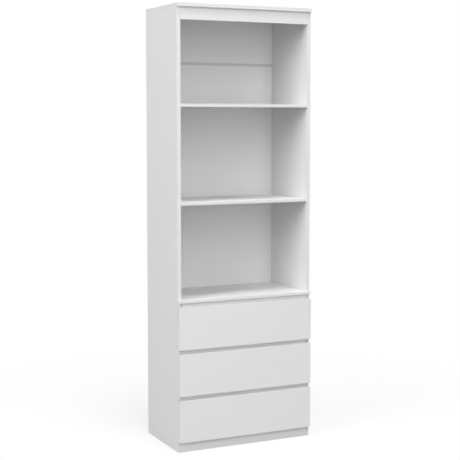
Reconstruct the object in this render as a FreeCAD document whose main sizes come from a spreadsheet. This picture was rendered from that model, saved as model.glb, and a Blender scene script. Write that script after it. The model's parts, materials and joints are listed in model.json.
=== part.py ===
import FreeCAD, Part
import math
import os
import Sketcher
from FreeCAD import Vector

# A free-standing bookcase: three open niches above three handle-less drawers.
#
# X runs to the right, Y to the back and Z up, in millimetres. The origin is on the floor, in the
# middle of the rectangle that the bookcase covers. Most places below are counted in the carcass
# frame instead, which starts at the left side panel's outer face, at the front edges of the side
# panels and at the floor; Places.left_x and Places.front_y carry them over.

DRAWERS = ("bottom", "middle", "top")

SIZES = {
    # Carcass
    "overall_width": 600,
    "side_depth": 330,
    "side_thickness": 15,
    "top_thickness": 15,
    "top_overhang": 10,
    "rail_height": 50,
    "rail_thickness": 15,
    "shelf_thickness": 12,
    "niche_height": 379,
    "middle_board_thickness": 12,
    "nosing_depth": 10,
    "bottom_thickness": 15,
    "plinth_height": 45,
    "plinth_thickness": 15,
    # Back panels, in grooves of the side panels and the top panel
    "back_thickness": 3,
    "back_inset": 12,
    "groove_depth": 6,
    "groove_play": 0.2,
    "groove_end_play": 0.5,
    "strip_drop": 211,
    "strip_height": 12,
    "strip_wall": 1,
    # Joints of the carcass boards
    "joint_inset": 45,
    "dowel_diameter": 8,
    "dowel_length": 30,
    "dowel_in_side": 10,
    "cam_diameter": 12,
    "cam_grip": 3.5,
    "cam_inset": 24,
    "cam_slot_width": 1.5,
    "cam_slot_depth": 2,
    "bolt_diameter": 5,
    "bolt_bite": 10,
    # Wall brackets, inside the top niche
    "bracket_width": 20,
    "bracket_height": 20,
    "bracket_depth": 25,
    "bracket_wall": 1.5,
    "bracket_spread": 360,
    "wall_hole_diameter": 5.5,
    "wall_hole_level": 9,
    # Drawer fronts
    "overlay_height": 171.5,
    "overlay_thickness": 15,
    "overlay_foot": 41.5,
    "finger_gap": 17,
    "finger_bevel": 9,
    "front_gap": 0.5,
    "inner_front_thickness": 15,
    "inner_front_side_play": 1.5,
    "inner_front_top_play": 2,
    "inner_front_foot_play": 3,
    # Drawer boxes
    "box_rear_play": 25.5,
    "box_thickness": 12,
    "box_side_height": 130,
    "drawer_bottom_thickness": 3,
    "drawer_bottom_rise": 8,
    "drawer_groove_depth": 5,
    # Roller runners
    "runner_length": 250,
    "runner_space": 12.5,
    "runner_steel": 1.2,
    "runner_setback": 2.5,
    "track_width": 10.9,
    "lip_cutback": 21,
    "member_step": 3,
    "flange_reach": 3,
    "flange_play": 1,
    "roller_diameter": 17,
    "roller_width": 6,
    "roller_inset": 10,
    "roller_play": 0.3,
    "axle_diameter": 5,
    "axle_clearance": 0.05,
    "axle_head_diameter": 8,
    "axle_head_thickness": 0.8,
    "runner_screw_inset": 45,
    # Wood screws
    "screw_diameter": 3.5,
    "screw_head_diameter": 7,
    "screw_head_height": 2,
    "short_screw_length": 9,
    "front_screw_length": 25,
    "front_screw_inset": 90,
    "front_screw_edge": 35,
}

PLACES = {
    "drawer_stand": "Sizes.front_gap + Sizes.overlay_thickness",
    "left_x": "-Sizes.overall_width / 2",
    "front_y": "(drawer_stand - Sizes.side_depth) / 2",
    "inner_width": "Sizes.overall_width - 2 * Sizes.side_thickness",
    "right_inner_x": "Sizes.overall_width - Sizes.side_thickness",
    "shelf_depth": "Sizes.side_depth - Sizes.back_inset - Sizes.back_thickness",
    "rear_joint_y": "shelf_depth - Sizes.joint_inset",
    "drawer_pitch": "Sizes.overlay_height + Sizes.finger_gap",
    "middle_board_z": f"Sizes.overlay_foot + {len(DRAWERS)} * drawer_pitch",
    "lower_shelf_z": "middle_board_z + Sizes.middle_board_thickness + Sizes.niche_height",
    "upper_shelf_z": "lower_shelf_z + Sizes.shelf_thickness + Sizes.niche_height",
    "top_z": "upper_shelf_z + Sizes.shelf_thickness + Sizes.niche_height",
    "rail_z": "top_z - Sizes.rail_height",
    "top_cam_z": "top_z - Sizes.cam_inset",
    "bolt_length": "Sizes.bolt_bite + Sizes.cam_inset - Sizes.cam_diameter / 2",
    # Back panels
    "groove_y": "shelf_depth - Sizes.groove_play / 2",
    "groove_width": "Sizes.back_thickness + Sizes.groove_play",
    "back_reach": "Sizes.groove_depth - Sizes.groove_end_play",
    "back_x": "Sizes.side_thickness - back_reach",
    "back_width": "inner_width + 2 * back_reach",
    "strip_z": "top_z - Sizes.strip_drop",
    "strip_web_low": "strip_z + (Sizes.strip_height - Sizes.strip_wall) / 2",
    "strip_web_high": "strip_web_low + Sizes.strip_wall",
    "upper_back_height": "top_z + back_reach - strip_web_high",
    "bracket_y": "shelf_depth - Sizes.bracket_depth",
    "bracket_z": "top_z - Sizes.bracket_height",
    "wall_hole_z": "bracket_z + Sizes.wall_hole_level",
    # Drawers: the levels are those of the lowest one
    "box_z": "Sizes.plinth_height + Sizes.bottom_thickness + Sizes.inner_front_foot_play",
    "inner_front_top": "Sizes.overlay_foot + drawer_pitch - Sizes.inner_front_top_play",
    "inner_front_height": "inner_front_top - box_z",
    "inner_front_width": "inner_width - 2 * Sizes.inner_front_side_play",
    "box_y": "Sizes.inner_front_thickness - Sizes.front_gap",
    "box_rear_y": "shelf_depth - Sizes.box_rear_play",
    "box_depth": "box_rear_y - box_y",
    "box_left_x": "Sizes.side_thickness + Sizes.runner_space",
    "box_right_x": "Sizes.overall_width - box_left_x - Sizes.box_thickness",
    "box_inner_x": "box_left_x + Sizes.box_thickness",
    "box_inner_width": "Sizes.overall_width - 2 * box_inner_x",
    "drawer_groove": "Sizes.drawer_bottom_thickness + Sizes.groove_play",
    "drawer_bottom_reach": "Sizes.drawer_groove_depth - Sizes.groove_end_play",
    "box_back_rise": "Sizes.drawer_bottom_rise + Sizes.drawer_bottom_thickness",
    # Runners: heights are counted from the cabinet member's underside
    "runner_y": "box_y + Sizes.runner_setback",
    "channel_top": "Sizes.runner_steel + Sizes.roller_diameter + 2 * Sizes.roller_play",
    "member_top": "channel_top + Sizes.runner_steel",
    "flange_z": "member_top + Sizes.flange_play",
    "front_roller_z": "flange_z - Sizes.roller_play - Sizes.roller_diameter / 2",
    "rear_roller_z": "Sizes.runner_steel + Sizes.roller_play + Sizes.roller_diameter / 2",
    "front_roller_x": "Sizes.runner_steel + Sizes.roller_play",
    "rear_roller_x": "Sizes.runner_space - front_roller_x - Sizes.roller_width",
    "head_gap": "Sizes.roller_play / 2",
    "axle_reach": "front_roller_x + Sizes.roller_width + head_gap + Sizes.axle_head_thickness",
    "rear_roller_y": "Sizes.runner_length - Sizes.roller_inset",
    "member_width": "Sizes.runner_space + Sizes.box_thickness",
    "rear_screw_y": "Sizes.runner_length - Sizes.runner_screw_inset",
    "screw_hole": "Sizes.screw_diameter + Sizes.groove_play",
}

# Outlines are drawn on one of the three planes of a body. "level" is drawn in X and Y and grows
# upwards, "front" in X and Z and grows to the back, "side" in Y and Z and grows to the right.
PLANES = {"level": "XY_Plane", "front": "XZ_Plane", "side": "YZ_Plane"}

# Fasteners and their drillings repeat many times out of sight, so they have flat sides in place
# of round ones. Pins, rollers and the holes that the outside world uses are truly round.
FASTENER_SIDES = 8

doc = FreeCAD.newDocument("bookcase")
pieces = []


def fill_sheet(name, cells, sign):
    """A sheet with one named cell per row."""
    sheet = doc.addObject("Spreadsheet::Sheet", name)
    for row, (alias, content) in enumerate(cells.items(), start=1):
        sheet.set(f"A{row}", alias)
        sheet.set(f"B{row}", f"{sign}{content}")
        sheet.setAlias(f"B{row}", alias)
    doc.recompute()
    return sheet


def value(expression):
    """The number that an expression of the two sheets gives."""
    return float(sizes.evalExpression(expression))


def spot(x, y, z):
    """A point of the carcass frame, from three expressions."""
    return Vector(value(x), value(y), value(z))


def unit_ring():
    """The corners of a fastener's section, for a radius of one."""
    turns = [2 * math.pi * step / FASTENER_SIDES for step in range(FASTENER_SIDES)]
    return [(math.cos(turn), math.sin(turn)) for turn in turns]


def drilling(across, up, diameter):
    """The outline of a fastener's hole around a point."""
    return [
        (f"{across} + {cosine:.6f} * ({diameter}) / 2", f"{up} + {sine:.6f} * ({diameter}) / 2")
        for cosine, sine in unit_ring()
    ]


def drillings(spots, diameter):
    """Outlines of several holes of one diameter."""
    return [drilling(across, up, diameter) for across, up in spots]


def rect(left, low, width, height):
    """The corners of an upright rectangle, from its lower left corner."""
    right = f"{left} + {width}"
    high = f"{low} + {height}"
    return [(left, low), (right, low), (right, high), (left, high)]


# ---------------------------------------------------------------- Bodies, sketches and features


def new_body(name, at):
    """An empty body whose origin is bound to a point of the carcass frame."""
    body = doc.addObject("PartDesign::Body", name)
    body.Label = name
    x, y, z = at
    body.setExpression("Placement.Base.x", f"Places.left_x + {x}")
    body.setExpression("Placement.Base.y", f"Places.front_y + {y}")
    body.setExpression("Placement.Base.z", z)
    pieces.append(body)
    return body


def new_sketch(body, facing, start):
    """A sketch on one of the body's own planes, moved by start along the way it grows."""
    sketch = body.newObject("Sketcher::SketchObject", f"{body.Name}_sketch")
    features = body.Origin.OriginFeatures
    plane = next(feature for feature in features if feature.Role == PLANES[facing])
    sketch.AttachmentSupport = (plane, "")
    sketch.MapMode = "FlatFace"
    sign = "-" if facing == "front" else ""
    sketch.setExpression("AttachmentOffset.Base.z", f"{sign}({start})")
    return sketch


def bind(sketch, dimensions):
    """Adds dimensions, each given as a kind, its places and the expression that it follows."""
    first = sketch.ConstraintCount
    sketch.addConstraint([
        Sketcher.Constraint(kind, *places, value(expression))
        for kind, places, expression in dimensions
    ])
    for index, (_, _, expression) in enumerate(dimensions, start=first):
        sketch.setExpression(f"Constraints[{index}]", expression)


def draw_outline(sketch, corners):
    """A closed outline of straight lines, each corner bound to two expressions."""
    points = [Vector(value(across), value(up), 0) for across, up in corners]
    first = sketch.GeometryCount
    count = len(points)
    dimensions = []
    for index, (across, up) in enumerate(corners):
        line = first + index
        sketch.addGeometry(Part.LineSegment(points[index], points[(index + 1) % count]), False)
        dimensions.append(("DistanceX", (-1, 1, line, 1), across))
        dimensions.append(("DistanceY", (-1, 1, line, 1), up))
    sketch.addConstraint([
        Sketcher.Constraint("Coincident", first + index, 2, first + (index + 1) % count, 1)
        for index in range(count)
    ])
    bind(sketch, dimensions)


def draw_circle(sketch, across, up, diameter):
    """A circle with its centre and diameter bound to expressions."""
    centre = Vector(value(across), value(up), 0)
    circle = Part.Circle(centre, Vector(0, 0, 1), value(diameter) / 2)
    index = sketch.addGeometry(circle, False)
    bind(sketch, [
        ("DistanceX", (-1, 1, index, 3), across),
        ("DistanceY", (-1, 1, index, 3), up),
        ("Diameter", (index,), diameter),
    ])


def extrude(body, kind, facing, start, length, ahead, outlines=(), circles=()):
    """Pads or pockets outlines and circles; ahead is the way in which the plane grows."""
    sketch = new_sketch(body, facing, start)
    for corners in outlines:
        draw_outline(sketch, corners)
    for across, up, diameter in circles:
        draw_circle(sketch, across, up, diameter)
    feature = body.newObject(f"PartDesign::{kind}", f"{body.Name}_{kind}")
    feature.Profile = sketch
    feature.setExpression("Length", length)
    against_normal = ahead == (facing == "front")
    feature.Reversed = against_normal if kind == "Pad" else not against_normal
    sketch.Visibility = False
    body.Tip = feature
    return feature


def board(name, facing, corners, thickness, at):
    """A body that starts as one padded outline."""
    body = new_body(name, at)
    extrude(body, "Pad", facing, "0", thickness, True, outlines=[corners])
    return body


def add(body, facing, start, length, ahead, outlines=(), circles=()):
    extrude(body, "Pad", facing, start, length, ahead, outlines, circles)


def cut(body, facing, start, depth, ahead, outlines=(), circles=()):
    extrude(body, "Pocket", facing, start, depth, ahead, outlines, circles)


def group(name, solids):
    """Separate solids that share one node, given in the carcass frame."""
    feature = doc.addObject("Part::Feature", name)
    feature.Label = name
    feature.Shape = Part.makeCompound(solids)
    feature.Placement.Base = Vector(value("Places.left_x"), value("Places.front_y"), 0)
    pieces.append(feature)


def pin(start, direction, diameter, length):
    """A straight fastener's shank."""
    radius = value(diameter) / 2
    corners = [Vector(radius * cosine, radius * sine, 0) for cosine, sine in unit_ring()]
    section = Part.Face(Part.makePolygon(corners + corners[:1]))
    solid = section.extrude(Vector(0, 0, value(length)))
    solid.Placement = FreeCAD.Placement(start, FreeCAD.Rotation(Vector(0, 0, 1), direction))
    return solid


def screw(seat, direction, length):
    """A pan-head wood screw: seat is where the head bears, and direction points into the wood."""
    head = pin(seat, -direction, "Sizes.screw_head_diameter", "Sizes.screw_head_height")
    shank = pin(seat, direction, "Sizes.screw_diameter", length)
    return head.fuse(shank).removeSplitter()


# ---------------------------------------------------------------- Joints of the carcass boards

JOINT_LINES = ("Sizes.joint_inset", "Places.rear_joint_y")
DOWEL_IN_BOARD = "Sizes.dowel_length - Sizes.dowel_in_side"


def cam_depth(thickness):
    """How deep a cam sits in a board: past the bolt in the middle of the thickness."""
    return f"{thickness} / 2 + Sizes.cam_grip"


def bore_ends(body, left, right, lines, level, diameter, depth):
    """Bores into both end faces of a board, at the given lines across its depth."""
    holes = drillings([(line, level) for line in lines], diameter)
    cut(body, "side", left, depth, True, outlines=holes)
    cut(body, "side", right, depth, False, outlines=holes)


def cam_board_joints(body, left, right, front, thickness):
    """Cam pockets in the underside and bolt bores in the ends; the texts place the board."""
    lines = [f"{front} + {line}" for line in JOINT_LINES]
    bore_ends(body, left, right, lines, f"{thickness} / 2", "Sizes.bolt_diameter",
              "Sizes.cam_inset")
    spots = [
        (across, line)
        for across in (f"{left} + Sizes.cam_inset", f"{right} - Sizes.cam_inset")
        for line in lines
    ]
    holes = drillings(spots, "Sizes.cam_diameter")
    cut(body, "level", "0", cam_depth(thickness), True, outlines=holes)


def cam(middle, outwards, thickness):
    """A cam disc flush with the board's face, with a slot for the driver."""
    disc = pin(middle, -outwards, "Sizes.cam_diameter", cam_depth(thickness))
    width = value("Sizes.cam_slot_width")
    length = value("Sizes.cam_diameter")
    depth = value("Sizes.cam_slot_depth")
    slot = Part.makeBox(width, length, depth, Vector(-width / 2, -length / 2, -depth))
    slot.Placement = FreeCAD.Placement(middle, FreeCAD.Rotation(Vector(0, 0, 1), outwards))
    return disc.cut(slot)


def cam_joints():
    """The cams and bolts of the middle board, the bottom panel and the top panel."""
    cams = []
    bolts = []
    up = Vector(0, 0, 1)
    inset = value("Sizes.cam_inset")
    bite = value("Sizes.bolt_bite")
    ends = (("Sizes.side_thickness", Vector(1, 0, 0)), ("Places.right_inner_x", Vector(-1, 0, 0)))
    boards = (
        ("Places.middle_board_z", "Sizes.middle_board_thickness"),
        ("Sizes.plinth_height", "Sizes.bottom_thickness"),
    )
    for line in JOINT_LINES:
        for end, inwards in ends:
            for level, thickness in boards:
                edge = spot(end, line, level)
                cams.append(cam(edge + inwards * inset, -up, thickness))
                start = edge + up * value(f"{thickness} / 2") - inwards * bite
                bolts.append(pin(start, inwards, "Sizes.bolt_diameter", "Places.bolt_length"))
            face = spot(end, line, "Places.top_cam_z")
            cams.append(cam(face, inwards, "Sizes.side_thickness"))
            start = spot(end, line, "Places.top_z + Sizes.bolt_bite")
            start -= inwards * value("Sizes.side_thickness / 2")
            bolts.append(pin(start, -up, "Sizes.bolt_diameter", "Places.bolt_length"))
    group("cam_discs", cams)
    group("cam_bolts", bolts)


def dowel_lines():
    """Where dowels run from the side panels into board ends: places in Y and Z."""
    shelves = [
        (line, f"{level} + Sizes.shelf_thickness / 2")
        for level in ("Places.lower_shelf_z", "Places.upper_shelf_z")
        for line in JOINT_LINES
    ]
    rail = ("Sizes.rail_thickness / 2", "Places.rail_z + Sizes.rail_height / 2")
    plinth = ("Sizes.plinth_thickness / 2", "Sizes.plinth_height / 2")
    return shelves + [rail, plinth]


def dowels():
    """Beech dowels of the shelves, the rail and the plinth."""
    solids = []
    for line, level in dowel_lines():
        left = spot("Sizes.side_thickness - Sizes.dowel_in_side", line, level)
        right = spot("Places.right_inner_x + Sizes.dowel_in_side", line, level)
        for start, direction in ((left, Vector(1, 0, 0)), (right, Vector(-1, 0, 0))):
            solids.append(pin(start, direction, "Sizes.dowel_diameter", "Sizes.dowel_length"))
    group("dowels", solids)


# ---------------------------------------------------------------- Carcass


def side_panel(name, x, inner_face, ahead):
    """A side: groove for the back, dowel holes, and the cam joints that hold the top panel."""
    corners = rect("0", "0", "Sizes.side_depth", "Places.top_z")
    panel = board(name, "side", corners, "Sizes.side_thickness", (x, "0", "0"))
    groove = rect("Places.groove_y", "0", "Places.groove_width", "Places.top_z")
    cut(panel, "side", inner_face, "Sizes.groove_depth", ahead, outlines=[groove])
    holes = drillings(dowel_lines(), "Sizes.dowel_diameter")
    cut(panel, "side", inner_face, "Sizes.dowel_in_side", ahead, outlines=holes)
    cams = drillings([(line, "Places.top_cam_z") for line in JOINT_LINES], "Sizes.cam_diameter")
    cut(panel, "side", inner_face, cam_depth("Sizes.side_thickness"), ahead, outlines=cams)
    middle = "Sizes.side_thickness / 2"
    bolts = drillings([(middle, line) for line in JOINT_LINES], "Sizes.bolt_diameter")
    cut(panel, "level", "Places.top_z", "Sizes.cam_inset", False, outlines=bolts)


def top_panel():
    """The top, lying over both sides, with a stopped groove for the back."""
    corners = rect("0", "0", "Sizes.overall_width", "Sizes.side_depth + Sizes.top_overhang")
    at = ("0", "-Sizes.top_overhang", "Places.top_z")
    panel = board("top_panel", "level", corners, "Sizes.top_thickness", at)
    groove = rect("Sizes.side_thickness - Sizes.groove_depth",
                  "Sizes.top_overhang + Places.groove_y",
                  "Places.inner_width + 2 * Sizes.groove_depth", "Places.groove_width")
    cut(panel, "level", "0", "Sizes.groove_depth", True, outlines=[groove])


def cross_rail(name, level, height, thickness):
    """An upright board between the side panels, flush with their front edges."""
    corners = rect("0", "0", "Places.inner_width", height)
    rail = board(name, "front", corners, thickness, ("Sizes.side_thickness", "0", level))
    bore_ends(rail, "0", "Places.inner_width", [f"{thickness} / 2"], f"{height} / 2",
              "Sizes.dowel_diameter", DOWEL_IN_BOARD)


def shelf(name, level):
    """A fixed shelf between the side panels, on dowels."""
    corners = rect("0", "0", "Places.inner_width", "Places.shelf_depth")
    at = ("Sizes.side_thickness", "0", level)
    body = board(name, "level", corners, "Sizes.shelf_thickness", at)
    bore_ends(body, "0", "Places.inner_width", JOINT_LINES, "Sizes.shelf_thickness / 2",
              "Sizes.dowel_diameter", DOWEL_IN_BOARD)


def bottom_panel():
    """The floor of the drawer case, on the plinth."""
    corners = rect("0", "0", "Places.inner_width", "Places.shelf_depth")
    at = ("Sizes.side_thickness", "0", "Sizes.plinth_height")
    body = board("bottom_panel", "level", corners, "Sizes.bottom_thickness", at)
    cam_board_joints(body, "0", "Places.inner_width", "0", "Sizes.bottom_thickness")


def middle_board():
    """The board over the drawers: its nosing runs across the side panels' front edges."""
    rear = "Sizes.nosing_depth + Places.shelf_depth"
    corners = [
        ("0", "0"),
        ("Sizes.overall_width", "0"),
        ("Sizes.overall_width", "Sizes.nosing_depth"),
        ("Places.right_inner_x", "Sizes.nosing_depth"),
        ("Places.right_inner_x", rear),
        ("Sizes.side_thickness", rear),
        ("Sizes.side_thickness", "Sizes.nosing_depth"),
        ("0", "Sizes.nosing_depth"),
    ]
    at = ("0", "-Sizes.nosing_depth", "Places.middle_board_z")
    body = board("middle_board", "level", corners, "Sizes.middle_board_thickness", at)
    cam_board_joints(body, "Sizes.side_thickness", "Places.right_inner_x",
                     "Sizes.nosing_depth", "Sizes.middle_board_thickness")


def back_panels():
    """Two thin sheets in the grooves, and the H-shaped strip that joins their edges."""
    lower = rect("0", "0", "Places.back_width", "Places.strip_web_low - Sizes.plinth_height")
    at = ("Places.back_x", "Places.shelf_depth", "Sizes.plinth_height")
    board("lower_back_panel", "front", lower, "Sizes.back_thickness", at)

    upper = rect("0", "0", "Places.back_width", "Places.upper_back_height")
    at = ("Places.back_x", "Places.shelf_depth", "Places.strip_web_high")
    panel = board("upper_back_panel", "front", upper, "Sizes.back_thickness", at)
    level = "Places.wall_hole_z - Places.strip_web_high"
    holes = [
        (f"Places.back_width / 2 {sign} Sizes.bracket_spread / 2", level,
         "Sizes.wall_hole_diameter")
        for sign in "-+"
    ]
    cut(panel, "front", "0", "Sizes.back_thickness", True, circles=holes)

    wall = "Sizes.strip_wall"
    far = f"{wall} + Sizes.back_thickness"
    outer = f"{far} + {wall}"
    web_low = f"(Sizes.strip_height - {wall}) / 2"
    web_high = f"{web_low} + {wall}"
    corners = [
        ("0", "0"), (wall, "0"), (wall, web_low), (far, web_low), (far, "0"), (outer, "0"),
        (outer, "Sizes.strip_height"), (far, "Sizes.strip_height"), (far, web_high),
        (wall, web_high), (wall, "Sizes.strip_height"), ("0", "Sizes.strip_height"),
    ]
    length = "Places.inner_width - 2 * Sizes.groove_end_play"
    at = ("Sizes.side_thickness + Sizes.groove_end_play", f"Places.shelf_depth - {wall}",
          "Places.strip_z")
    board("back_joint_strip", "side", corners, length, at)


def wall_bracket(name, sign):
    """An angle under the top panel, with a hole for a screw into the wall behind the back."""
    wall = "Sizes.bracket_wall"
    inner_y = f"Sizes.bracket_depth - {wall}"
    inner_z = f"Sizes.bracket_height - {wall}"
    corners = [
        (inner_y, "0"), ("Sizes.bracket_depth", "0"),
        ("Sizes.bracket_depth", "Sizes.bracket_height"), ("0", "Sizes.bracket_height"),
        ("0", inner_z), (inner_y, inner_z),
    ]
    middle = f"Sizes.overall_width / 2 {sign} Sizes.bracket_spread / 2"
    at = (f"{middle} - Sizes.bracket_width / 2", "Places.bracket_y", "Places.bracket_z")
    body = board(name, "side", corners, "Sizes.bracket_width", at)
    half = "Sizes.bracket_width / 2"
    wall_hole = (half, "Sizes.wall_hole_level", "Sizes.wall_hole_diameter")
    cut(body, "front", inner_y, wall, True, circles=[wall_hole])
    screw_hole = drilling(half, f"({inner_y}) / 2", "Places.screw_hole")
    cut(body, "level", inner_z, wall, True, outlines=[screw_hole])
    seat = spot(middle, f"Places.bracket_y + ({inner_y}) / 2", f"Places.top_z - {wall}")
    return screw(seat, Vector(0, 0, 1), "Sizes.short_screw_length")


# ---------------------------------------------------------------- Roller runners


def across(side, reach, width):
    """Turns a distance from the side panel into X within a runner member of that width."""
    return reach if side == "left" else f"{width} - ({reach})"


def axle(body, side, width, root, tip, line, level):
    """A riveted axle that stands out of a member's web, with a flat head."""
    outwards = value(tip) > value(root)
    ahead = outwards == (side == "left")
    sign = "-" if outwards else "+"
    head_start = f"{tip} {sign} Sizes.axle_head_thickness"
    length = f"abs({tip} - ({root}))"
    shaft = (line, level, "Sizes.axle_diameter")
    head = drilling(line, level, "Sizes.axle_head_diameter")
    add(body, "side", across(side, root, width), length, ahead, circles=[shaft])
    add(body, "side", across(side, head_start, width), "Sizes.axle_head_thickness", ahead,
        outlines=[head])


def cabinet_runner(name, side, level):
    """The fixed member: a channel for the drawer's roller, with its own roller in front."""
    width = "Sizes.runner_space"
    steel = "Sizes.runner_steel"
    profile = [
        ("0", "0"), ("Sizes.track_width", "0"), ("Sizes.track_width", steel), (steel, steel),
        (steel, "Places.channel_top"), ("Sizes.track_width", "Places.channel_top"),
        ("Sizes.track_width", "Places.member_top"), ("0", "Places.member_top"),
    ]
    corners = [(across(side, reach, width), height) for reach, height in profile]
    x = "Sizes.side_thickness" if side == "left" else f"Places.right_inner_x - {width}"
    body = board(name, "front", corners, "Sizes.runner_length", (x, "Places.runner_y", level))
    near = across(side, "Sizes.runner_steel", width)
    far = across(side, "Sizes.track_width", width)
    lip = [(near, "0"), (far, "0"), (far, "Sizes.lip_cutback"), (near, "Sizes.lip_cutback")]
    cut(body, "level", "Places.channel_top", steel, True, outlines=[lip])
    face = across(side, "0", width)
    lines = ("Sizes.runner_screw_inset", "Places.rear_screw_y")
    holes = drillings([(line, "Places.member_top / 2") for line in lines], "Places.screw_hole")
    cut(body, "side", face, steel, side == "left", outlines=holes)
    axle(body, side, width, "0", "Places.axle_reach", "Sizes.roller_inset",
         "Places.front_roller_z")


def drawer_runner(name, side, level):
    """The moving member: a sole under the drawer side, a web and a flange on the front roller."""
    width = "Places.member_width"
    steel = "Sizes.runner_steel"
    web = f"Sizes.runner_space - {steel}"
    sole = f"Sizes.member_step - {steel}"
    flange_top = f"Places.flange_z + {steel}"
    profile = [
        (web, sole), (width, sole), (width, "Sizes.member_step"),
        ("Sizes.runner_space", "Sizes.member_step"), ("Sizes.runner_space", flange_top),
        ("Sizes.flange_reach", flange_top), ("Sizes.flange_reach", "Places.flange_z"),
        (web, "Places.flange_z"),
    ]
    corners = [(across(side, reach, width), height) for reach, height in profile]
    x = "Sizes.side_thickness" if side == "left" else f"Places.right_inner_x - {width}"
    body = board(name, "front", corners, "Sizes.runner_length", (x, "Places.box_y", level))
    middle = across(side, "Sizes.runner_space + Sizes.box_thickness / 2", width)
    hole = drilling(middle, "Sizes.runner_screw_inset", "Places.screw_hole")
    cut(body, "level", sole, steel, True, outlines=[hole])
    tip = "Sizes.runner_space - Places.axle_reach"
    axle(body, side, width, "Sizes.runner_space", tip, "Places.rear_roller_y",
         "Places.rear_roller_z")


def roller_pair(name, offset, line, level):
    """The two rollers of a drawer that turn about one axis, one on each side."""
    body = new_body(name, ("Sizes.side_thickness", line, level))
    sketch = new_sketch(body, "front", "0")
    bore = "Sizes.axle_diameter / 2 + Sizes.axle_clearance"
    edge = "Sizes.roller_diameter / 2"
    for start in (offset, f"Places.inner_width - ({offset}) - Sizes.roller_width"):
        end = f"{start} + Sizes.roller_width"
        draw_outline(sketch, [(start, bore), (end, bore), (end, edge), (start, edge)])
    tyre = body.newObject("PartDesign::Revolution", f"{name}_Revolution")
    tyre.Profile = sketch
    tyre.ReferenceAxis = (sketch, ["H_Axis"])
    tyre.Angle = 360
    sketch.Visibility = False
    body.Tip = tyre


def runner_screws(level):
    """The screws of one drawer's two cabinet members, through their webs into the sides."""
    solids = []
    sides = (
        ("Sizes.side_thickness + Sizes.runner_steel", Vector(-1, 0, 0)),
        ("Places.right_inner_x - Sizes.runner_steel", Vector(1, 0, 0)),
    )
    for line in ("Sizes.runner_screw_inset", "Places.rear_screw_y"):
        for x, direction in sides:
            seat = spot(x, f"Places.runner_y + {line}", f"{level} + Places.member_top / 2")
            solids.append(screw(seat, direction, "Sizes.short_screw_length"))
    return solids


# ---------------------------------------------------------------- Drawers


FRONT_SCREW_LINES = (
    "Places.box_inner_x + Sizes.front_screw_inset",
    "Sizes.overall_width - Places.box_inner_x - Sizes.front_screw_inset",
)
FRONT_SCREW_LEVELS = (
    "Sizes.front_screw_edge",
    "Places.inner_front_height - Sizes.front_screw_edge",
)


def drawer_fronts(name, rise, level):
    """The overlay with its bevelled finger edge, and the inner front that carries it."""
    bevel_start = "Sizes.overlay_height - Sizes.finger_bevel"
    corners = [
        ("0", "0"), ("Sizes.overlay_thickness", "0"), ("Sizes.overlay_thickness", bevel_start),
        ("Sizes.overlay_thickness - Sizes.finger_bevel", "Sizes.overlay_height"),
        ("0", "Sizes.overlay_height"),
    ]
    at = ("0", "-Places.drawer_stand", f"Sizes.overlay_foot + {rise}")
    board(f"{name}_front", "side", corners, "Sizes.overall_width", at)

    corners = rect("0", "0", "Places.inner_front_width", "Places.inner_front_height")
    at = ("Sizes.side_thickness + Sizes.inner_front_side_play", "-Sizes.front_gap", level)
    inner = board(f"{name}_inner_front", "front", corners, "Sizes.inner_front_thickness", at)
    groove = rect("Sizes.inner_front_thickness - Sizes.drawer_groove_depth",
                  "Sizes.member_step + Sizes.drawer_bottom_rise",
                  "Sizes.drawer_groove_depth", "Places.drawer_groove")
    cut(inner, "side", "0", "Places.inner_front_width", True, outlines=[groove])
    shift = "Sizes.side_thickness + Sizes.inner_front_side_play"
    spots = [(f"{x} - ({shift})", z) for x in FRONT_SCREW_LINES for z in FRONT_SCREW_LEVELS]
    holes = drillings(spots, "Sizes.screw_diameter")
    cut(inner, "front", "0", "Sizes.inner_front_thickness", True, outlines=holes)


def drawer_box(name, level):
    """Sides, back and bottom of a drawer."""
    foot = f"{level} + Sizes.member_step"
    sides = (
        ("left", "Places.box_left_x", "Sizes.box_thickness", False),
        ("right", "Places.box_right_x", "0", True),
    )
    for side, x, inner_face, ahead in sides:
        corners = rect("0", "0", "Places.box_depth", "Sizes.box_side_height")
        panel = board(f"{name}_{side}_side", "side", corners, "Sizes.box_thickness",
                      (x, "Places.box_y", foot))
        groove = rect("0", "Sizes.drawer_bottom_rise", "Places.box_depth", "Places.drawer_groove")
        cut(panel, "side", inner_face, "Sizes.drawer_groove_depth", ahead, outlines=[groove])

    height = "Sizes.box_side_height - Places.box_back_rise"
    corners = rect("0", "0", "Places.box_inner_width", height)
    at = ("Places.box_inner_x", "Places.box_rear_y - Sizes.box_thickness",
          f"{foot} + Places.box_back_rise")
    board(f"{name}_back", "front", corners, "Sizes.box_thickness", at)

    reach = "Places.drawer_bottom_reach"
    corners = rect("0", "0", f"Places.box_inner_width + 2 * {reach}", f"Places.box_depth + {reach}")
    at = (f"Places.box_inner_x - {reach}", f"Places.box_y - {reach}",
          f"{foot} + Sizes.drawer_bottom_rise")
    board(f"{name}_bottom", "level", corners, "Sizes.drawer_bottom_thickness", at)


def drawer_screws(name, level):
    """The screws that hold the overlay, from inside, and the moving members, from below."""
    solids = []
    for x in FRONT_SCREW_LINES:
        for z in FRONT_SCREW_LEVELS:
            seat = spot(x, "Places.box_y", f"{level} + {z}")
            solids.append(screw(seat, Vector(0, -1, 0), "Sizes.front_screw_length"))
    middle = "Places.box_left_x + Sizes.box_thickness / 2"
    sole = f"{level} + Sizes.member_step - Sizes.runner_steel"
    for x in (middle, f"Sizes.overall_width - ({middle})"):
        seat = spot(x, "Places.box_y + Sizes.runner_screw_inset", sole)
        solids.append(screw(seat, Vector(0, 0, 1), "Sizes.short_screw_length"))
    group(f"{name}_screws", solids)


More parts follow.
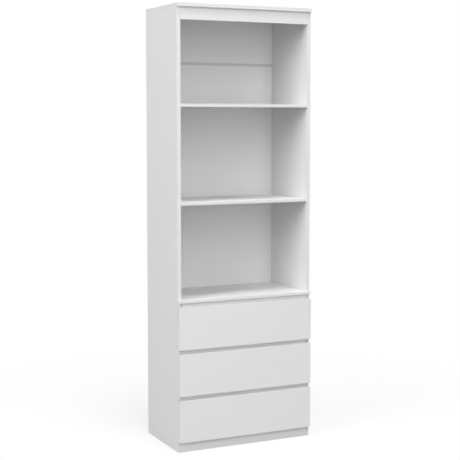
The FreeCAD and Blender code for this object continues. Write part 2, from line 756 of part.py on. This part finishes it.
def drawer(place, number):
    """One drawer and the cabinet members that carry it; number counts up from the lowest."""
    name = f"{place}_drawer"
    rise = f"{number} * Places.drawer_pitch"
    level = f"Places.box_z + {rise}"
    drawer_fronts(name, rise, level)
    drawer_box(name, level)
    for side in ("left", "right"):
        cabinet_runner(f"{place}_{side}_cabinet_runner", side, level)
        drawer_runner(f"{name}_{side}_runner", side, level)
    roller_pair(f"{place}_cabinet_rollers", "Places.front_roller_x",
                "Places.runner_y + Sizes.roller_inset", f"{level} + Places.front_roller_z")
    roller_pair(f"{name}_rollers", "Places.rear_roller_x",
                "Places.box_y + Places.rear_roller_y", f"{level} + Places.rear_roller_z")
    drawer_screws(name, level)
    return runner_screws(level)


# ---------------------------------------------------------------- Assembly


def check_and_export():
    """Stops on any failed feature, then writes one file per node."""
    doc.recompute()
    for item in doc.Objects:
        if {"Invalid", "Error"} & set(item.State):
            raise RuntimeError(f"{item.Name} failed: {item.State}")
        base = getattr(item, "BaseFeature", None)
        if item.TypeId == "PartDesign::Pocket" and item.Shape.Volume >= base.Shape.Volume:
            raise RuntimeError(f"{item.Name} cuts nothing")
        if item.TypeId == "PartDesign::Pad" and base and item.Shape.Volume <= base.Shape.Volume:
            raise RuntimeError(f"{item.Name} adds nothing")
    os.makedirs("parts", exist_ok=True)
    for piece in pieces:
        if piece.Shape.isNull() or not piece.Shape.isValid():
            raise RuntimeError(f"{piece.Label} has no valid shape")
        piece.Shape.exportStep(f"parts/{piece.Label}.step")
    print(f"{len(pieces)} nodes written")


sizes = fill_sheet("Sizes", SIZES, "")
places = fill_sheet("Places", PLACES, "=")

side_panel("left_side_panel", "0", "Sizes.side_thickness", False)
side_panel("right_side_panel", "Places.right_inner_x", "0", True)
top_panel()
cross_rail("top_front_rail", "Places.rail_z", "Sizes.rail_height", "Sizes.rail_thickness")
shelf("upper_shelf", "Places.upper_shelf_z")
shelf("lower_shelf", "Places.lower_shelf_z")
middle_board()
bottom_panel()
cross_rail("plinth", "0", "Sizes.plinth_height", "Sizes.plinth_thickness")
back_panels()
bracket_screws = [wall_bracket("left_wall_bracket", "-"), wall_bracket("right_wall_bracket", "+")]
group("wall_bracket_screws", bracket_screws)
cam_joints()
dowels()

cabinet_runner_screws = []
for number, place in enumerate(DRAWERS):
    cabinet_runner_screws += drawer(place, number)
group("cabinet_runner_screws", cabinet_runner_screws)

check_and_export()
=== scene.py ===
import json
import math

import bmesh
import bpy
from mathutils import Matrix, Vector

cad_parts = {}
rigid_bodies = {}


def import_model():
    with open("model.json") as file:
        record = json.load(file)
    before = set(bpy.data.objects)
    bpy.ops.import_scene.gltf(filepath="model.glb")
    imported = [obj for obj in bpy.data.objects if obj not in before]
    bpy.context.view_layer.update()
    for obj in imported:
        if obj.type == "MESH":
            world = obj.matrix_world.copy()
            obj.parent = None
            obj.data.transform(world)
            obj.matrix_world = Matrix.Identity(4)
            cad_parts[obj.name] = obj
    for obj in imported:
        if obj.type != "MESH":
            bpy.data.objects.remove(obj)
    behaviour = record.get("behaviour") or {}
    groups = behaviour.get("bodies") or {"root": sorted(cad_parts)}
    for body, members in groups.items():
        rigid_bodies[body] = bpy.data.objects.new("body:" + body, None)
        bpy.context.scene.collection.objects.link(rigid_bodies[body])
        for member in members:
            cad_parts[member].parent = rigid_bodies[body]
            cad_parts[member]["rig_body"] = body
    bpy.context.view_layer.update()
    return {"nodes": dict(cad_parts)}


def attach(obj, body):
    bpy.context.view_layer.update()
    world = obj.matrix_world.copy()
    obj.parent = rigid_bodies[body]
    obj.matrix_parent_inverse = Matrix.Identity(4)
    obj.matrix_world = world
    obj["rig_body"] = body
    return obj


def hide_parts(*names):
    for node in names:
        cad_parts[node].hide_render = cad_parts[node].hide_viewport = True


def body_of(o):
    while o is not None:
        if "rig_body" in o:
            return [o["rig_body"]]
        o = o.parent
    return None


# A free-standing white bookcase: melamine boards with edge bands, thin back sheets, and three
# drawers on roller runners. Lengths are in metres; X runs to the right, Y to the back, Z up.

MM = 0.001

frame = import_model()
nodes = frame["nodes"]


# ---------------------------------------------------------------- Node helpers


class Shader:
    """A material whose nodes are added and linked by short calls."""

    def __init__(self, name):
        self.material = bpy.data.materials.new(name)
        self.material.use_nodes = True
        self.tree = self.material.node_tree
        self.surface = self.tree.nodes["Principled BSDF"]
        self.place = self.tree.nodes.new("ShaderNodeTexCoord")

    def add(self, kind, inputs=None, **settings):
        """A node; inputs maps socket names or numbers to constants or to other sockets."""
        node = self.tree.nodes.new(kind)
        for key, setting in settings.items():
            setattr(node, key, setting)
        for key, source in (inputs or {}).items():
            if isinstance(source, bpy.types.NodeSocket):
                self.tree.links.new(source, node.inputs[key])
            else:
                node.inputs[key].default_value = source
        return node

    def math(self, operation, *values):
        """A sum, product or other result of one or two values."""
        return self.add("ShaderNodeMath", dict(enumerate(values)), operation=operation).outputs[0]

    def noise(self, size, detail=2.0, roughness=0.5, stretch=(1, 1, 1), distortion=0.0):
        """Noise whose blobs are about size metres wide, longer where stretch is below one."""
        scaled = self.add("ShaderNodeMapping", {
            "Vector": self.place.outputs["Object"],
            "Scale": stretch,
        })
        node = self.add("ShaderNodeTexNoise", {
            "Vector": scaled.outputs[0],
            "Scale": 1 / size,
            "Detail": detail,
            "Roughness": roughness,
            "Distortion": distortion,
        })
        return node.outputs["Fac"]

    def cells(self, size, stretch=(1, 1, 1)):
        """Voronoi cells about size metres wide; the node has a distance and a colour output."""
        scaled = self.add("ShaderNodeMapping", {
            "Vector": self.place.outputs["Object"],
            "Scale": stretch,
        })
        return self.add("ShaderNodeTexVoronoi", {
            "Vector": scaled.outputs[0],
            "Scale": 1 / size,
        })

    def ramp(self, factor, low, high, start=0.0, end=1.0):
        """A value that goes from low to high as the factor goes from start to end."""
        node = self.add("ShaderNodeMapRange", {
            "Value": factor, "From Min": start, "From Max": end, "To Min": low, "To Max": high,
        })
        return node.outputs["Result"]

    def mix(self, factor, first, second):
        """Blends two colours."""
        node = self.add("ShaderNodeMix", data_type="RGBA")
        for socket, source in (("Factor_Float", factor), ("A_Color", first), ("B_Color", second)):
            target = next(item for item in node.inputs if item.identifier == socket)
            if isinstance(source, bpy.types.NodeSocket):
                self.tree.links.new(source, target)
            else:
                target.default_value = (*source, 1) if isinstance(source, tuple) else source
        return next(item for item in node.outputs if item.identifier == "Result_Color")

    def blend(self, factor, first, second):
        """Blends two values."""
        node = self.add("ShaderNodeMix", {0: factor, 2: first, 3: second}, data_type="FLOAT")
        return node.outputs[0]

    def facing(self, axis, sign):
        """One where the surface looks along an axis: sign is 1, -1 or 0 for both ways."""
        parts = self.add("ShaderNodeSeparateXYZ", {0: self.place.outputs["Normal"]})
        value = parts.outputs["XYZ".index(axis)]
        if sign == 0:
            value = self.math("ABSOLUTE", value)
        elif sign < 0:
            value = self.math("MULTIPLY", value, -1.0)
        return self.ramp(value, 0.0, 1.0, start=0.80, end=0.95)

    def bump(self, height, distance):
        """Relief on the surface; distance is its depth in metres where height goes 0 to 1."""
        node = self.add("ShaderNodeBump", {"Height": height, "Distance": distance})
        self.tree.links.new(node.outputs["Normal"], self.surface.inputs["Normal"])

    def set(self, **sockets):
        """Sets or links the surface's own sockets, named with underscores."""
        for key, source in sockets.items():
            socket = self.surface.inputs[key.replace("_", " ")]
            if isinstance(source, bpy.types.NodeSocket):
                self.tree.links.new(source, socket)
            else:
                socket.default_value = (*source, 1) if isinstance(source, tuple) else source


def grey(level):
    return (level, level, level)


# ---------------------------------------------------------------- Materials

FACE_WHITE = 0.72
BAND_WHITE = 0.70


def chipboard(shader):
    """Raw chipboard: colour and height of pressed chips."""
    chips = shader.cells(2.6 * MM, stretch=(1, 1, 1.4))
    tone = shader.add("ShaderNodeSeparateColor", {0: chips.outputs["Color"]}).outputs[0]
    colour = shader.mix(tone, (0.47, 0.34, 0.21), (0.72, 0.57, 0.39))
    return colour, chips.outputs["Distance"]


def melamine(name, face_axis, raw=()):
    """Board with white melamine faces along an axis, edge bands around, and raw edges."""
    shader = Shader(name)
    pearl = shader.noise(0.9 * MM, detail=3)
    cloud = shader.noise(60 * MM, detail=2)
    face = shader.mix(cloud, grey(FACE_WHITE * 0.99), grey(FACE_WHITE * 1.01))
    band_grain = shader.noise(0.6 * MM, detail=2, stretch=(0.2, 0.2, 0.2))
    band = shader.mix(band_grain, grey(BAND_WHITE * 0.99), grey(BAND_WHITE * 1.01))
    is_face = shader.facing(face_axis, 0)
    colour = shader.mix(is_face, band, face)
    roughness = shader.blend(is_face, shader.ramp(band_grain, 0.34, 0.42),
                             shader.ramp(pearl, 0.40, 0.54))
    height = pearl
    for axis, sign in raw:
        is_raw = shader.facing(axis, sign)
        core, chips = chipboard(shader)
        colour = shader.mix(is_raw, colour, core)
        roughness = shader.blend(is_raw, roughness, 0.85)
        height = shader.blend(is_raw, height, shader.math("MULTIPLY", chips, 6.0))
    shader.set(Base_Color=colour, Roughness=roughness, Specular_IOR_Level=0.3)
    shader.bump(height, 0.03 * MM)
    return shader.material


def hardboard(name, raw_axis, raw_sign):
    """Thin fibreboard, white lacquer on one side and bare on the other."""
    shader = Shader(name)
    pearl = shader.noise(1.2 * MM, detail=3)
    cloud = shader.noise(80 * MM, detail=2)
    white = shader.mix(cloud, grey(FACE_WHITE * 0.985), grey(FACE_WHITE * 1.005))
    fibres = shader.noise(1.6 * MM, detail=5, roughness=0.7, distortion=1.5)
    mottle = shader.noise(35 * MM, detail=4)
    brown = shader.mix(fibres, (0.30, 0.19, 0.105), (0.45, 0.31, 0.19))
    brown = shader.mix(shader.math("MULTIPLY", mottle, 0.5), brown, (0.36, 0.24, 0.145))
    is_raw = shader.facing(raw_axis, raw_sign)
    shader.set(Base_Color=shader.mix(is_raw, white, brown),
               Roughness=shader.blend(is_raw, shader.ramp(pearl, 0.45, 0.58), 0.80),
               Specular_IOR_Level=0.3)
    shader.bump(shader.blend(is_raw, pearl, fibres), 0.04 * MM)
    return shader.material


def plastic(name, level, low, high):
    """Moulded or extruded white plastic."""
    shader = Shader(name)
    grain = shader.noise(0.8 * MM, detail=3)
    shader.set(Base_Color=shader.mix(grain, grey(level * 0.985), grey(level * 1.01)),
               Roughness=shader.ramp(grain, low, high), Specular_IOR_Level=0.4)
    shader.bump(grain, 0.02 * MM)
    return shader.material


def powder_coat():
    """White epoxy powder on rolled steel, with its orange peel."""
    shader = Shader("powder_coated_steel")
    peel = shader.noise(1.4 * MM, detail=1)
    dust = shader.noise(30 * MM, detail=3)
    shader.set(Base_Color=shader.mix(dust, (0.78, 0.78, 0.77), (0.82, 0.82, 0.81)),
               Roughness=shader.ramp(peel, 0.28, 0.40))
    shader.bump(peel, 0.05 * MM)
    return shader.material


def zinc():
    """Bright zinc plate on small fittings."""
    shader = Shader("zinc_plate")
    crystals = shader.cells(0.9 * MM)
    brushed = shader.noise(0.5 * MM, detail=3)
    tone = shader.add("ShaderNodeSeparateColor", {0: crystals.outputs["Color"]}).outputs[0]
    shader.set(Base_Color=shader.mix(tone, (0.58, 0.58, 0.57), (0.72, 0.72, 0.70)),
               Metallic=1.0, Roughness=shader.ramp(brushed, 0.24, 0.44))
    shader.bump(brushed, 0.01 * MM)
    return shader.material


def beech():
    """Beech with grain along X, as the dowels lie."""
    shader = Shader("beech")
    grain = shader.noise(1.5 * MM, detail=4, stretch=(0.08, 1, 1))
    flecks = shader.noise(0.5 * MM, detail=2, stretch=(0.25, 1, 1))
    wood = shader.mix(grain, (0.50, 0.34, 0.19), (0.66, 0.49, 0.31))
    shader.set(Base_Color=shader.mix(shader.ramp(flecks, 0.0, 0.5, 0.62, 0.75), wood,
                                     (0.36, 0.22, 0.11)),
               Roughness=0.62)
    shader.bump(grain, 0.05 * MM)
    return shader.material


REAR = ("Y", 1)
UNDERSIDE = ("Z", -1)
FINISHES = {
    "upright": melamine("melamine_upright", "X", raw=(REAR, UNDERSIDE)),
    "level": melamine("melamine_level", "Z", raw=(REAR,)),
    "front": melamine("melamine_front", "Y"),
    "back_sheet": hardboard("hardboard_back", "Y", 1),
    "drawer_bottom": hardboard("hardboard_bottom", "Z", -1),
    # The joint strip is a darker grey than the back sheets around it, so it shows as a dark line
    # between them.
    "strip": plastic("strip_plastic", 0.54, 0.38, 0.46),
    "nylon": plastic("nylon", 0.82, 0.30, 0.40),
    "runner": powder_coat(),
    "zinc": zinc(),
    "beech": beech(),
}


# ---------------------------------------------------------------- Edges

# Width and steps of the rounding that each finish has on its edges.
ROUNDING = {
    "upright": (0.7 * MM, 3),
    "level": (0.7 * MM, 3),
    "front": (0.5 * MM, 3),
    "back_sheet": (0.3 * MM, 2),
    "drawer_bottom": (0.3 * MM, 2),
    "strip": (0.25 * MM, 2),
    "nylon": (0.5 * MM, 3),
    "runner": (0.3 * MM, 2),
    "zinc": (0.3 * MM, 2),
    "beech": (0.8 * MM, 2),
}
SMOOTH_ANGLE = math.radians(40)
FLAT_ANGLE = math.radians(0.5)
# Corners nearer than these are one: as exported, and as left where two roundings meet.
WELD_REACH = 0.01 * MM
PINCH_REACH = 0.001 * MM


def smoothing_group():
    """Geometry nodes that shade edges flatter than SMOOTH_ANGLE as smooth."""
    group = bpy.data.node_groups.new("smooth_by_angle", "GeometryNodeTree")
    group.interface.new_socket("Geometry", in_out="INPUT", socket_type="NodeSocketGeometry")
    group.interface.new_socket("Geometry", in_out="OUTPUT", socket_type="NodeSocketGeometry")
    start = group.nodes.new("NodeGroupInput")
    end = group.nodes.new("NodeGroupOutput")
    bare = group.nodes.new("GeometryNodeRemoveAttribute")
    bare.inputs["Name"].default_value = "custom_normal"
    angle = group.nodes.new("GeometryNodeInputMeshEdgeAngle")
    flat = group.nodes.new("FunctionNodeCompare")
    flat.operation = "LESS_EQUAL"
    flat.inputs["B"].default_value = SMOOTH_ANGLE
    faces = group.nodes.new("GeometryNodeSetShadeSmooth")
    edges = group.nodes.new("GeometryNodeSetShadeSmooth")
    edges.domain = "EDGE"
    link = group.links.new
    link(start.outputs[0], bare.inputs["Geometry"])
    link(bare.outputs["Geometry"], faces.inputs["Geometry"])
    link(faces.outputs["Geometry"], edges.inputs["Geometry"])
    link(angle.outputs["Unsigned Angle"], flat.inputs["A"])
    link(flat.outputs["Result"], edges.inputs["Shade Smooth"])
    link(edges.outputs["Geometry"], end.inputs[0])
    return group


SMOOTHING = smoothing_group()


def round_edges(piece, width, steps):
    """Welds a node's facets, rounds its sharp edges and shades the result."""
    weld = piece.modifiers.new("weld", "WELD")
    weld.merge_threshold = WELD_REACH
    flat = piece.modifiers.new("join_flat_facets", "DECIMATE")
    flat.decimate_type = "DISSOLVE"
    flat.angle_limit = FLAT_ANGLE
    bevel = piece.modifiers.new("rounded_edges", "BEVEL")
    bevel.width = width
    bevel.segments = steps
    bevel.limit_method = "ANGLE"
    bevel.angle_limit = SMOOTH_ANGLE
    pinched = piece.modifiers.new("weld_pinched_corners", "WELD")
    pinched.merge_threshold = PINCH_REACH
    shade = piece.modifiers.new("smooth_by_angle", "NODES")
    shade.node_group = SMOOTHING
    normals = piece.modifiers.new("even_faces", "WEIGHTED_NORMAL")
    normals.keep_sharp = True


def finish_of(name):
    """The finish of a node, from its name."""
    if name == "dowels":
        return "beech"
    if name.endswith("screws") or "bracket" in name or name.startswith("cam_"):
        return "zinc"
    if name.endswith("rollers"):
        return "nylon"
    if name.endswith("runner"):
        return "runner"
    if name == "back_joint_strip":
        return "strip"
    if name.endswith("back_panel"):
        return "back_sheet"
    if name.endswith("drawer_bottom"):
        return "drawer_bottom"
    if name.endswith(("side_panel", "left_side", "right_side")):
        return "upright"
    if name.endswith(("shelf", "middle_board", "bottom_panel", "top_panel")):
        return "level"
    return "front"


for name, node in nodes.items():
    kind = finish_of(name)
    node.material_slots[0].material = FINISHES[kind]
    round_edges(node, *ROUNDING[kind])


# ---------------------------------------------------------------- Screws, cams, bolts and dowels

HEAD_HEIGHT = 2 * MM
# Only a screw's head reaches further than this from its axis.
HEAD_REACH = 3 * MM
# What is left of a screw's radius at its very tip.
TIP_SHARE = 0.06
FLUTE_DEPTH, FLUTES = 0.3 * MM, 16
RINGS_PER_TURN = 6
SCREW_STEPS, FITTING_STEPS = 24, 48
# Angle in radians from one fitting's recess to the next one's, so that neighbours differ.
TURN_BETWEEN = 2.4


def loose_parts(node):
    """The corners of each loose part of a node."""
    mesh = bmesh.new()
    mesh.from_mesh(node.data)
    bmesh.ops.remove_doubles(mesh, verts=mesh.verts, dist=WELD_REACH)
    seen = set()
    for first in mesh.verts:
        if first in seen:
            continue
        seen.add(first)
        part = [first]
        for corner in part:
            for edge in corner.link_edges:
                other = edge.other_vert(corner)
                if other not in seen:
                    seen.add(other)
                    part.append(other)
        yield [node.matrix_world @ corner.co for corner in part]
    mesh.free()


def seat_of(corners, kind):
    """A fitting's place, its head at the origin and the rest along Z, and its length."""
    low = Vector([min(corner[i] for corner in corners) for i in range(3)])
    high = Vector([max(corner[i] for corner in corners) for i in range(3)])
    middle, extent = (low + high) / 2, high - low
    side = sorted(extent)[1]
    along = max(range(3), key=lambda i: abs(extent[i] - side))
    inwards = Vector((0, 0, 0))
    if kind == "screw":
        wide = [corner for corner in corners if max(
            abs(corner[i] - middle[i]) for i in range(3) if i != along) > HEAD_REACH]
        head = sum((corner[along] for corner in wide)) / len(wide)
        inwards[along] = 1 if head < middle[along] else -1
    elif along == 2:
        inwards.z = 1
    else:
        inwards[along] = math.copysign(1, middle[along])
    length = extent[along]
    start = middle - inwards * length / 2
    turn = inwards.to_track_quat("Z", "Y").to_matrix().to_4x4()
    return Matrix.Translation(start) @ turn, length


def thread(start, end, root, crest, pitch, point=0.0):
    """Rings of a thread from start to end, narrowing to a point over its last stretch."""
    rings = []
    count = round((end - start) / pitch * RINGS_PER_TURN)
    for number in range(count + 1):
        depth = start + (end - start) * number / count
        narrow = min(1.0, (end - depth) / point + TIP_SHARE) if point else 1.0
        fade = min(1.0, (depth - start) / pitch)

        def radius(angle, depth=depth, narrow=narrow, fade=fade):
            phase = (depth / pitch - angle / math.tau) % 1.0
            # The ridge takes up the middle half of each turn.
            ridge = max(0.0, 1.0 - abs(phase - 0.5) * 4)
            return (root + (crest - root) * ridge * fade) * narrow
        rings.append((depth, radius))
    return rings


def fluted(radius):
    """The radius of a dowel's ring by angle, with its flutes."""
    return lambda angle: radius - FLUTE_DEPTH * max(0.0, math.cos(angle * FLUTES)) ** 2


def rings_of(kind, length):
    """A fitting's rings, head first: depth and radius in metres, the radius also by angle."""
    if kind == "screw":
        head = [(0, 2.1), (0.10, 2.65), (0.32, 3.05), (0.70, 3.34), (1.20, 3.48), (1.70, 3.5),
                (1.95, 3.42), (2.0, 3.30), (2.0, 1.35)]
        return [(d * MM, r * MM) for d, r in head] + thread(
            start=HEAD_HEIGHT + 0.1 * MM, end=length, root=1.2 * MM, crest=1.75 * MM,
            pitch=1.4 * MM, point=3.5 * MM)
    if kind == "cam":
        end = length / MM
        body = [(0, 5.2), (0.12, 5.6), (0.45, 5.9), (0.9, 6.0), (end - 0.6, 6.0), (end, 5.4)]
        return [(d * MM, r * MM) for d, r in body]
    if kind == "bolt":
        body = [(0, 1.4), (0.3, 2.1), (0.9, 2.5), (1.8, 2.5), (2.5, 1.9), (2.9, 1.5), (5.5, 1.5),
                (6.3, 2.2), (16.2, 2.2), (16.5, 2.5), (17.7, 2.5), (18.0, 1.9)]
        return [(d * MM, r * MM) for d, r in body] + thread(
            start=18.1 * MM, end=length, root=1.9 * MM, crest=2.5 * MM, pitch=1.5 * MM)
    end = length / MM
    return [(0, 3.0 * MM)] + [
        (d * MM, fluted(r * MM))
        for d, r in ((0.25, 3.3), (1.2, 4.0), (end - 1.2, 4.0), (end - 0.25, 3.3))
    ] + [(length, 3.0 * MM)]


# Cross recess of each kind with one: half its arms' width, its reach and its depth.
RECESSES = {"screw": (0.42 * MM, 1.75 * MM, 1.3 * MM), "cam": (0.75 * MM, 3.6 * MM, 2.0 * MM)}
# What is left of its arms' width and of its reach at a recess's bottom.
WIDTH_LEFT, REACH_LEFT = 0.6, 0.45


def cross(mesh, half, reach, depth):
    """The twelve corners of a cross at a depth."""
    quarter = [(reach, -half), (reach, half), (half, half)]
    corners = []
    for turn in range(4):
        for x, y in quarter:
            for _ in range(turn):
                x, y = -y, x
            corners.append(mesh.verts.new((x, y, depth)))
    return corners


def band(mesh, outer, inner):
    """Faces between two rings of as many corners."""
    count = len(outer)
    return [mesh.faces.new((outer[i], outer[(i + 1) % count], inner[(i + 1) % count], inner[i]))
            for i in range(count)]


def fitting(kind, length, steps):
    """The mesh of one fitting, with its head at the origin and its end at Z = length."""
    mesh = bmesh.new()
    rings = []
    for depth, radius in rings_of(kind, length):
        ring = []
        for step in range(steps):
            angle = math.tau * (step + 0.5) / steps
            reach = radius(angle) if callable(radius) else radius
            ring.append(mesh.verts.new((reach * math.cos(angle), reach * math.sin(angle), depth)))
        rings.append(ring)
    for outer, inner in zip(rings, rings[1:]):
        band(mesh, outer, inner)
    mesh.faces.new(rings[-1])
    if kind in RECESSES:
        half, reach, depth = RECESSES[kind]
        mouth = cross(mesh, half, reach, 0)
        bottom = cross(mesh, half * WIDTH_LEFT, reach * REACH_LEFT, depth)
        band(mesh, mouth, bottom)
        mesh.faces.new(bottom)
        rim = [mesh.edges.get((loop[i - 1], loop[i])) or mesh.edges.new((loop[i - 1], loop[i]))
               for loop in (rings[0], mouth) for i in range(len(loop))]
        bmesh.ops.triangle_fill(mesh, edges=rim, use_beauty=True)
    else:
        mesh.faces.new(rings[0])
    bmesh.ops.recalc_face_normals(mesh, faces=mesh.faces)
    return mesh


def fit_out(name, kind, finish):
    """Turned fittings in the places of a node's plain ones."""
    node = nodes[name]
    whole = bmesh.new()
    for number, corners in enumerate(loose_parts(node)):
        place, length = seat_of(corners, kind)
        part = fitting(kind, length, SCREW_STEPS if kind == "screw" else FITTING_STEPS)
        part.transform(place @ Matrix.Rotation(TURN_BETWEEN * number, 4, "Z"))
        loose = bpy.data.meshes.new("part")
        part.to_mesh(loose)
        part.free()
        whole.from_mesh(loose)
        bpy.data.meshes.remove(loose)
    mesh = bpy.data.meshes.new(f"{name}_turned")
    whole.to_mesh(mesh)
    whole.free()
    mesh.materials.append(FINISHES[finish])
    piece = bpy.data.objects.new(f"{name}_turned", mesh)
    bpy.context.scene.collection.objects.link(piece)
    shade = piece.modifiers.new("smooth_by_angle", "NODES")
    shade.node_group = SMOOTHING
    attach(piece, body_of(node)[0])
    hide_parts(name)


for name in list(nodes):
    if name.endswith("screws"):
        fit_out(name, "screw", "zinc")
fit_out("cam_discs", "cam", "zinc")
fit_out("cam_bolts", "bolt", "zinc")
fit_out("dowels", "dowel", "beech")


# ---------------------------------------------------------------- Floor, light and camera

# Grey of the floor as it lights the object and as it is seen. What is seen is mixed with plain
# white, and the white's share grows between the two distances from the object's middle.
FLOOR_LIT = (0.29, 0.31)
FLOOR_SEEN = 0.80
WHITE_SHARE = (0.75, 1.0)
WHITE_FROM, WHITE_TO = 0.4, 2.0


def floor():
    """A pale floor that keeps the object's shadow and is white to the camera further out."""
    half = 12.0
    mesh = bpy.data.meshes.new("floor")
    corners = [(-half, -half, 0), (half, -half, 0), (half, half, 0), (-half, half, 0)]
    mesh.from_pydata(corners, [], [(0, 1, 2, 3)])
    plane = bpy.data.objects.new("floor", mesh)
    bpy.context.scene.collection.objects.link(plane)
    shader = Shader("pale_floor")
    rays = shader.add("ShaderNodeLightPath").outputs
    seen = shader.math("MAXIMUM", rays["Is Camera Ray"], rays["Is Glossy Ray"])
    seen = shader.math("MAXIMUM", seen, rays["Is Transmission Ray"])
    dust = shader.noise(40 * MM, detail=3)
    tone = shader.mix(dust, grey(FLOOR_LIT[0]), grey(FLOOR_LIT[1]))
    shader.set(Base_Color=shader.mix(seen, tone, grey(FLOOR_SEEN)), Roughness=0.9)
    away = shader.add("ShaderNodeVectorMath", {0: shader.place.outputs["Object"]},
                      operation="LENGTH").outputs["Value"]
    share = shader.math("MULTIPLY", seen, shader.ramp(away, *WHITE_SHARE, WHITE_FROM, WHITE_TO))
    white = shader.add("ShaderNodeEmission", {"Color": (1, 1, 1, 1), "Strength": 1.0})
    both = shader.add("ShaderNodeMixShader", {
        0: share, 1: shader.surface.outputs[0], 2: white.outputs[0],
    })
    shader.tree.links.new(both.outputs[0], shader.tree.nodes["Material Output"].inputs[0])
    mesh.materials.append(shader.material)


def world(strength):
    """Even light from all round, and plain white where it is seen."""
    sky = bpy.data.worlds.new("studio")
    sky.use_nodes = True
    tree = sky.node_tree
    background = tree.nodes["Background"]
    background.inputs["Color"].default_value = (1, 1, 1, 1)
    rays = tree.nodes.new("ShaderNodeLightPath")
    level = tree.nodes.new("ShaderNodeMapRange")
    level.inputs["To Min"].default_value = strength
    level.inputs["To Max"].default_value = 1.0
    seen = rays.outputs["Is Camera Ray"]
    for kind in ("Is Glossy Ray", "Is Transmission Ray"):
        either = tree.nodes.new("ShaderNodeMath")
        either.operation = "MAXIMUM"
        tree.links.new(seen, either.inputs[0])
        tree.links.new(rays.outputs[kind], either.inputs[1])
        seen = either.outputs[0]
    tree.links.new(seen, level.inputs["Value"])
    tree.links.new(level.outputs["Result"], background.inputs["Strength"])
    bpy.context.scene.world = sky


OBJECT_MIDDLE = Vector((0, 0, 0.9))
LAMP_DISTANCE = 8.0


def lamp(name, bearing, rise, size, power):
    """A square soft lamp aimed at the object's middle, at a bearing and rise in degrees.

    Bearing 0 is straight in front and 90 is on the right; size is in metres, power in watts.
    """
    turn, lift = math.radians(bearing), math.radians(rise)
    outward = Vector((math.sin(turn) * math.cos(lift), -math.cos(turn) * math.cos(lift),
                      math.sin(lift)))
    light = bpy.data.lights.new(name, "AREA")
    light.size = size
    light.energy = power
    holder = bpy.data.objects.new(name, light)
    holder.location = OBJECT_MIDDLE + outward * LAMP_DISTANCE
    holder.rotation_euler = (-outward).to_track_quat("-Z", "Y").to_euler()
    bpy.context.scene.collection.objects.link(holder)


# Angles are in degrees: a tilt of 90 is level, and a bearing of 0 looks along Y. The focal
# length and the sensor are in millimetres.
CAMERA_PLACE = (-2.0465, -4.2869, 1.334)
CAMERA_TILT = 85.193
CAMERA_BEARING = -25.58
FOCAL_LENGTH = 88.825
SENSOR_WIDTH = 36.0
LENS_SHIFT = -0.03


def camera():
    """At the photograph's distance and bearing, a little over the middle and tilted down."""
    lens = bpy.data.cameras.new("camera")
    lens.lens = FOCAL_LENGTH
    lens.sensor_width = SENSOR_WIDTH
    lens.shift_y = LENS_SHIFT
    view = bpy.data.objects.new("camera", lens)
    view.location = CAMERA_PLACE
    view.rotation_euler = (math.radians(CAMERA_TILT), 0, math.radians(CAMERA_BEARING))
    bpy.context.scene.collection.objects.link(view)
    bpy.context.scene.camera = view


floor()
world(strength=0.05)
lamp("key", bearing=-70, rise=26, size=4.2, power=490)
lamp("overhead", bearing=0, rise=74, size=2.5, power=350)
lamp("front", bearing=0, rise=36, size=4.2, power=205)
lamp("low_front", bearing=-5, rise=5, size=4.2, power=165)
lamp("right", bearing=100, rise=10, size=4.2, power=240)
lamp("rear", bearing=165, rise=12, size=4.2, power=200)
camera()
bpy.context.scene.view_settings.view_transform = "Standard"
